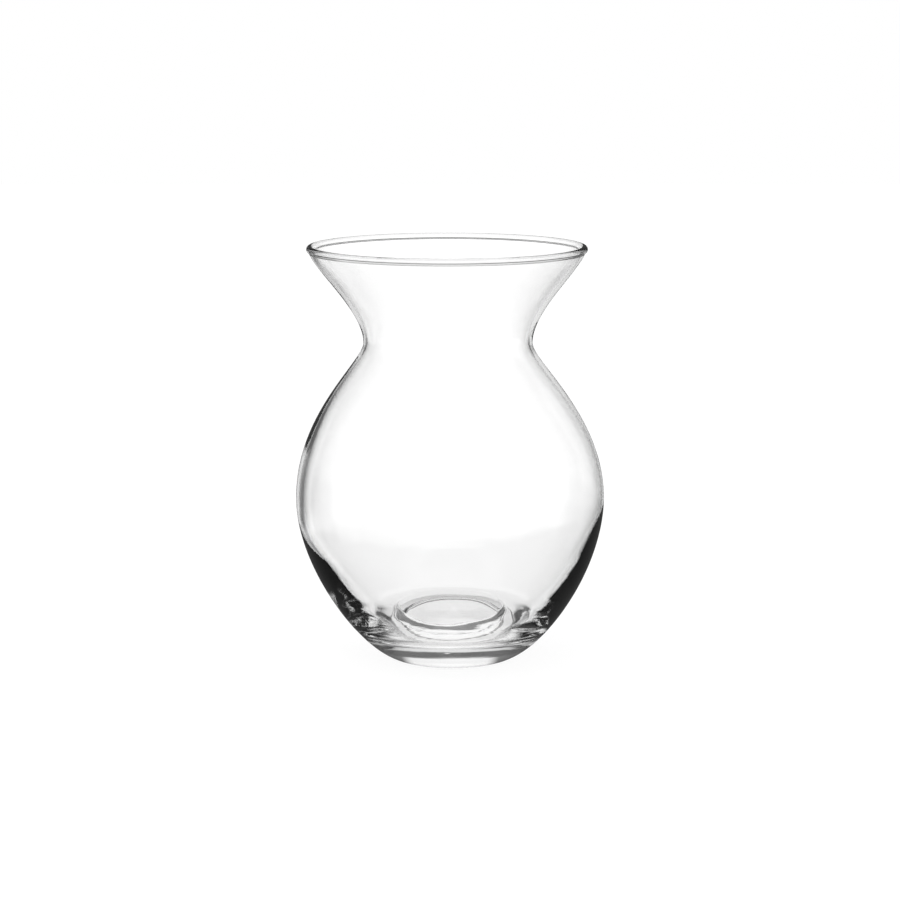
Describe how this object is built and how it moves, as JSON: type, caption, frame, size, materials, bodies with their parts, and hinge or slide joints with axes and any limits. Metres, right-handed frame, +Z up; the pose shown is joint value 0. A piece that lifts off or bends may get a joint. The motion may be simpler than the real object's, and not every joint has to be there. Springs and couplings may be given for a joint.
{
  "type": "glass vase",
  "caption": "Clear glass flower vase with a flared mouth, a narrow waist, a round belly and a heavy base.",
  "frame": {"origin": "middle of the ring that the vase stands on, at the level of the surface under it", "axes": "+Z up along the vase's axis, out of the mouth; X and Y are any two level directions, as the vase is round"},
  "size_m": [0.1374, 0.1374, 0.184],
  "materials": {
    "clear_glass": "fire-polished, smooth and colourless"
  },
  "bodies": {
    "root": {"vase_body": "clear_glass"}
  },
  "joints": []
}
